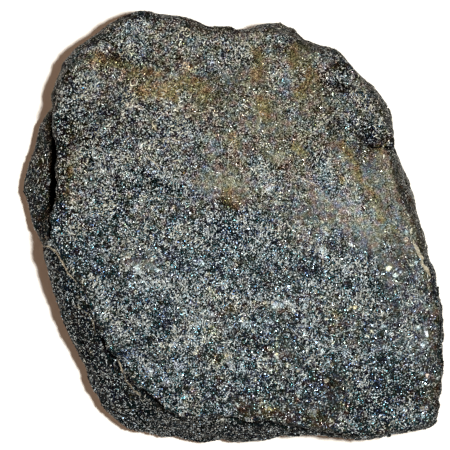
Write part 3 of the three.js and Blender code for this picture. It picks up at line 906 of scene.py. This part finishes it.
rock = {
    # sizes of what the stone is made of
    "grain": 0.20,
    "speck": 0.30,
    "coarseGrain": 1.0,
    "clump": 1.7,
    "streak": (0.36, 2.4),  # width, and how many times longer than wide
    "bundle": 2.4,  # streaks lie one way inside a bundle

    # clouds: size, detail and roughness
    "cluster": (2.4, 1.5, 0.5),
    "field": (8.0, 2.0, 0.5),
    "hueSmall": (1.7, 1.0, 0.4),
    "hueWide": (6.0, 3.0, 0.6),
    "greenCloud": (2.6, 1.0, 0.5),

    # how light the grains are, from 0 to 1
    "tone": 0.305,
    "strokeMiddle": 0.46,
    "stroke": (0.35, 1.05),  # how strongly strokes show, the faintest and how much more the strongest
    "single": 0.80,  # how much one fine grain differs from the next
    "wider": 0.08,  # the same for the coarser grains
    "contrast": (1.26, -0.92, -0.22),  # on fresh grains, its changes under the film and in the coarse half
    "filmLift": 0.30,
    "clusterLift": (0.34, -0.26),  # on fresh grains, and the change under the film
    "fieldLift": 0.16,
    # among these lifts, painted shade: hollows darker and ridges lighter, steep sides and the strip inside
    # the bench rim darker, and the dark zone beside the left crack
    "lifts": {"hollowShade": -0.055, "fresh": -0.27, "rimShade": -0.10, "dark": -0.16, "dim": -0.06,
              "light": 0.085, "blue": 0.03, "pale": 0.38, "coarse": -0.085},
    "greys": [(0.0, 0.008), (0.30, 0.020), (0.46, 0.042), (0.60, 0.085), (0.75, 0.25), (0.90, 0.85)],
    "coarseGreys": [(0.0, 0.040), (0.30, 0.066), (0.46, 0.085), (0.60, 0.110), (0.75, 0.21), (0.90, 0.85)],

    # pale clumps with ragged edges
    "clumps": 0.82,  # the higher, the fewer
    "clumpReach": 0.62,
    "clumpRagged": 0.5,  # how far coarse grains bite into the edge
    "clumpSizes": -0.35,  # how much further the biggest reach
    "clumpSharp": 3.0,
    "clumpShow": (0.2, 0.8),  # on the worn half, and how much more on the coarse one
    "clumpLift": 0.42,

    # cool and warm, green and mauve
    "cool": (0.30, 1.0, 1.7),
    "warm": (1.55, 1.03, 0.25),
    "warmth": 0.31,
    "warmSwing": (2.1, 2.2),  # in the small and the wide clouds
    "warmOn": {"film": 0.36, "warm": 0.32, "coarse": -0.31, "blue": -0.30},
    "warmClumps": (-0.7, 2.0),  # the coolest clump, and how much warmer the warmest
    "green": (0.80, 1.25, 0.85),
    "mauve": (1.18, 0.80, 1.12),
    "greenShare": 0.66,
    "greenSwing": 4.5,
    "greenClumps": 0.5,
    "greenAway": (0.31, 0.17, 0.05),  # a step aside, so that green and warm patches don't match
    "tintFade": 1.6,  # how fast the tint goes as a grain gets lighter
    "tintShow": (0.20, 0.80, -0.22),  # least, how much more on dark grains, its change on coarse ground

    # small bright specks: pale grains, and painted glints
    "specks": 0.905,  # the higher, the fewer
    "speckCluster": 0.35,
    "speckGrey": (0.40, 0.50),  # the dullest, and how much more the brightest
    "speckShow": (0.95, -0.60),  # on fresh grains, and the change under the film
    "speckCool": (0.86, 0.98, 1.0),
    "speckWarm": (1.0, 0.96, 0.84),

    # what lies over the grains: how strong a stain is, and how much of that some grains are spared
    "rust": {"colour": (1.05, 0.92, 0.62), "strength": 1.5, "spared": -0.3},
    "tan": {"colour": (1.65, 1.55, 1.15), "strength": 1.6, "spared": -0.8},
    # the open cracks are painted almost black as painted shade: reach is how far from their middle, show
    # how strongly
    "crack": {"colour": (0.002, 0.0015, 0.0015), "reach": 1.55, "show": 0.97},
    "vein": {"colour": (0.46, 0.42, 0.31), "broken": 0.25, "show": (0.4, 0.6)},

    # shine
    "metalBelow": (0.46, 0.58),  # grains darker than this shine like metal
    "freshDull": -0.25,  # change of the metal shine on fresh breaks
    "facetTilt": 1.35,
    "roughness": (0.13, 0.20),  # least, and how much more
    "ior": 1.4,
    "edgeGlint": (0.30, 0.32, 0.33),  # how much of the room the facets mirror when seen edge on
}


def surface(tree, colour, metal, roughness):
    inputs = {"Base Color": colour, "Metallic": metal, "Roughness": roughness,
              "IOR": rock["ior"], "Specular Tint": rock["edgeGlint"]}
    shader = add(tree, "ShaderNodeBsdfPrincipled", inputs)
    add(tree, "ShaderNodeOutputMaterial", {"Surface": shader.outputs[0]})
    return shader


def streaks(tree, place):
    # parallel strokes that lie another way in each bundle: a random number, and how far from the middle
    bundle = cells(tree, place, rock["bundle"])
    angle = times(tree, split(tree, bundle["Color"])[0], np.pi)
    inputs = {"Vector": place, "Center": bundle["Position"], "Angle": angle}
    turn = add(tree, "ShaderNodeVectorRotate", inputs, rotation_type="Z_AXIS")
    width, longer = rock["streak"]
    drawn = vector(tree, "MULTIPLY", turn.outputs[0], (1 / longer, 1, 1))
    stroke = cells(tree, drawn, width)
    return split(tree, stroke["Color"])[0], stroke["Distance"]


def rockFinish():
    material, tree = newFinish("chromiteRock")
    place = add(tree, "ShaderNodeTexCoord").outputs["Object"]
    fine = cells(tree, place, rock["grain"])
    pick, _, gloss = split(tree, fine["Color"])
    widePick, wideHue, _ = split(tree, cells(tree, place, rock["coarseGrain"])["Color"])
    cluster = cloud(tree, place, *rock["cluster"])
    coarse = painted(tree, "coarse")
    fresh = painted(tree, "fresh")
    film = painted(tree, "film")

    # how light each grain is: bright in the middle, darker at its rim, dull under the film
    stroke, fromMiddle = streaks(tree, place)
    faint, strong = rock["stroke"]
    level = maths(tree, "SUBTRACT", rock["strokeMiddle"], fromMiddle)
    level = times(tree, level, timesPlus(tree, stroke, strong, faint))
    level = timesPlus(tree, eitherSide(tree, pick), rock["single"], level)
    level = timesPlus(tree, eitherSide(tree, widePick), rock["wider"], level)
    clear, dulled, coarser = rock["contrast"]
    contrast = timesPlus(tree, coarse, coarser, timesPlus(tree, film, dulled, clear))
    level = times(tree, level, contrast)
    level = timesPlus(tree, film, rock["filmLift"], level)
    gathered, spread = rock["clusterLift"]
    level = timesPlus(tree, cluster, timesPlus(tree, film, spread, gathered), level)
    level = timesPlus(tree, cloud(tree, place, *rock["field"]), rock["fieldLift"], level)

    clumps = cells(tree, place, rock["clump"])
    clumpPick, clumpHue, clumpSize = split(tree, clumps["Color"])
    edge = timesPlus(tree, widePick, rock["clumpRagged"], clumps["Distance"])
    edge = timesPlus(tree, clumpSize, rock["clumpSizes"], edge)
    clump = maths(tree, "SUBTRACT", rock["clumpReach"], edge, clamp=True)
    clump = times(tree, clump, rock["clumpSharp"], clamp=True)
    clump = times(tree, clump, maths(tree, "GREATER_THAN", clumpPick, rock["clumps"]))
    onWorn, onCoarse = rock["clumpShow"]
    clump = times(tree, clump, timesPlus(tree, coarse, onCoarse, onWorn))
    level = timesPlus(tree, clump, rock["clumpLift"], level)
    level = changedBy(tree, level, rock["lifts"])
    level = maths(tree, "ADD", level, rock["tone"], clamp=True)
    ground = maths(tree, "SUBTRACT", coarse, fresh, clamp=True)
    grey = greyRamp(tree, level, rock["greys"])
    grey = mix(tree, ground, grey, greyRamp(tree, level, rock["coarseGreys"]))

    # cool or warm, green or mauve, least on the lightest grains
    small, wide = rock["warmSwing"]
    warmth = timesPlus(tree, cloud(tree, place, *rock["hueWide"]), wide, rock["warmth"])
    warmth = timesPlus(tree, cloud(tree, place, *rock["hueSmall"]), small, warmth)
    warmth = changedBy(tree, warmth, rock["warmOn"])
    coolest, warmer = rock["warmClumps"]
    warmth = timesPlus(tree, clump, timesPlus(tree, clumpHue, warmer, coolest), warmth, clamp=True)
    aside = vector(tree, "ADD", place, rock["greenAway"])
    green = timesPlus(tree, cloud(tree, aside, *rock["greenCloud"]), rock["greenSwing"], rock["greenShare"])
    green = timesPlus(tree, clump, rock["greenClumps"], green, clamp=True)
    tint = mix(tree, warmth, rock["cool"], rock["warm"])
    tint = mix(tree, 1.0, tint, mix(tree, green, rock["mauve"], rock["green"]), "MULTIPLY")
    least, darker, onGround = rock["tintShow"]
    share = maths(tree, "POWER", maths(tree, "SUBTRACT", 1.0, level), rock["tintFade"])
    share = timesPlus(tree, share, timesPlus(tree, ground, onGround, darker), least)
    colour = stained(tree, share, grey, tint)

    # dark chromite shines like metal, pale minerals don't
    low, high = rock["metalBelow"]
    metal = maths(tree, "DIVIDE", maths(tree, "SUBTRACT", high, level), high - low, clamp=True)

    # small bright specks, thicker where the grains cluster: pale grains, and painted glints
    chance, _, speckGrey = split(tree, cells(tree, place, rock["speck"])["Color"])
    chance = timesPlus(tree, cluster, rock["speckCluster"], chance)
    speck = maths(tree, "GREATER_THAN", chance, rock["specks"])
    dullest, brighter = rock["speckGrey"]
    paleSpeckAndGlint = mix(tree, warmth, rock["speckCool"], rock["speckWarm"])
    paleSpeckAndGlint = mix(tree, 1.0, paleSpeckAndGlint, timesPlus(tree, speckGrey, brighter, dullest), "MULTIPLY")
    bare, covered = rock["speckShow"]
    speck = times(tree, speck, timesPlus(tree, film, covered, bare))
    colour = mix(tree, speck, colour, paleSpeckAndGlint)
    metal = times(tree, metal, maths(tree, "SUBTRACT", 1.0, speck))
    metal = times(tree, metal, timesPlus(tree, fresh, rock["freshDull"], 1.0))

    # stains: rust spares some coarse grains a little, tan spares many fine ones
    for name, spared in (("rust", wideHue), ("tan", gloss)):
        stain = rock[name]
        share = times(tree, painted(tree, name), stain["strength"])
        share = timesPlus(tree, spared, stain["spared"], share, clamp=True)
        colour = stained(tree, share, colour, stain["colour"])

    # painted shade: the open cracks are coloured almost black and shine like dark metal, so they stay black
    crack = maths(tree, "ABSOLUTE", painted(tree, "crack"))
    crack = maths(tree, "SUBTRACT", rock["crack"]["reach"], crack, clamp=True)
    dark = times(tree, crack, rock["crack"]["show"])
    colour = mix(tree, dark, colour, rock["crack"]["colour"])
    metal = maths(tree, "MAXIMUM", metal, crack)
    vein = maths(tree, "ABSOLUTE", painted(tree, "vein"))
    vein = times(tree, maths(tree, "LESS_THAN", vein, 1.0), painted(tree, "veinShow"))
    thin, full = rock["vein"]["show"]
    whole = maths(tree, "GREATER_THAN", pick, rock["vein"]["broken"])
    vein = times(tree, vein, timesPlus(tree, whole, full, thin))
    colour = mix(tree, vein, colour, rock["vein"]["colour"])
    metal = times(tree, metal, maths(tree, "SUBTRACT", 1.0, vein))

    # each grain faces its own way
    spin = add(tree, "ShaderNodeTexWhiteNoise", {"Vector": fine["Position"]}, noise_dimensions="3D")
    tilt = vector(tree, "SUBTRACT", spin.outputs["Color"], (0.5, 0.5, 0.5))
    tilt = vector(tree, "SCALE", tilt, scale=rock["facetTilt"])
    normal = add(tree, "ShaderNodeNewGeometry").outputs["Normal"]
    normal = vector(tree, "NORMALIZE", vector(tree, "ADD", normal, tilt))

    least, more = rock["roughness"]
    roughness = timesPlus(tree, gloss, more, least)
    shader = surface(tree, colour, metal, roughness)
    plug(tree, shader.inputs["Normal"], normal)
    return material


def grainFinish(name, plan):
    material, tree = newFinish(name)
    grey = greyRamp(tree, painted(tree, "shade"), plan["greys"])
    tint = mix(tree, painted(tree, "hue"), plan["cool"], plan["warm"])
    surface(tree, mix(tree, 1.0, grey, tint, "MULTIPLY"), plan["metal"], plan["roughness"])
    return material


# Table, lamps and camera

studio = {
    "table": (0.88, 0.82, 0.74),
    "tableHalf": 1500,
    "tableRoughness": 0.7,
    "cameraHeight": 900,
    "cameraOver": (-2.0, 0.9),
    "lens": 228.6,
    "keyAt": (108, 16, 858),
    "keyRadius": 22,
    "keyPower": 10.6,
    "keyColour": (0.94, 0.985, 1.0),
    "wallColour": (1.0, 0.66, 0.46),
    "wallLight": 0.58,
    "ceilingColour": (0.03, 0.03, 0.035),
    "ceilingFrom": (0.62, 0.78),  # height on a round sky where the walls turn into the dark ceiling
}


def makeTable():
    mesh = bpy.data.meshes.new("table")
    half = studio["tableHalf"] * mm
    corners = [(-half, -half, 0), (half, -half, 0), (half, half, 0), (-half, half, 0)]
    mesh.from_pydata(corners, [], [(0, 1, 2, 3)])
    table = placed("table", mesh)
    material, tree = newFinish("paleTable")
    inputs = {"Base Color": studio["table"], "Roughness": studio["tableRoughness"]}
    shader = add(tree, "ShaderNodeBsdfPrincipled", inputs)
    add(tree, "ShaderNodeOutputMaterial", {"Surface": shader.outputs[0]})
    mesh.materials.append(material)


def makeLamp():
    data = bpy.data.lights.new("keyLamp", "AREA")
    data.shape = "DISK"
    data.size = 2 * studio["keyRadius"] * mm
    data.energy = studio["keyPower"]
    data.color = studio["keyColour"]
    lamp = placed("keyLamp", data)
    lamp.location = [v * mm for v in studio["keyAt"]]
    lamp.rotation_euler = lamp.location.to_track_quat("Z", "Y").to_euler()


def makeRoom():
    world = bpy.data.worlds.new("room")
    world.use_nodes = True
    tree = world.node_tree
    background = tree.nodes["Background"]
    sky = add(tree, "ShaderNodeTexCoord").outputs["Generated"]
    height = add(tree, "ShaderNodeSeparateXYZ", {0: sky}).outputs["Z"]
    inputs = enumerate((height, *studio["ceilingFrom"], 0.0, 1.0))
    overhead = add(tree, "ShaderNodeMapRange", inputs, interpolation_type="SMOOTHSTEP")
    walls = [v * studio["wallLight"] for v in studio["wallColour"]]
    colour = mix(tree, overhead.outputs[0], walls, studio["ceilingColour"])
    plug(tree, background.inputs["Color"], colour)
    bpy.context.scene.world = world
    bpy.context.scene.view_settings.view_transform = "Standard"


def makeCamera():
    data = bpy.data.cameras.new("camera")
    data.lens = studio["lens"]
    camera = placed("camera", data)
    x, y = studio["cameraOver"]
    camera.location = (x * mm, y * mm, studio["cameraHeight"] * mm)
    bpy.context.scene.camera = camera


slab, fields, normals = makeStone()
for name in grains:
    sow(slab, fields, normals, name)
thinBase(slab.data)
makeTable()
makeLamp()
makeRoom()
makeCamera()
print("table, lamp and camera ready")
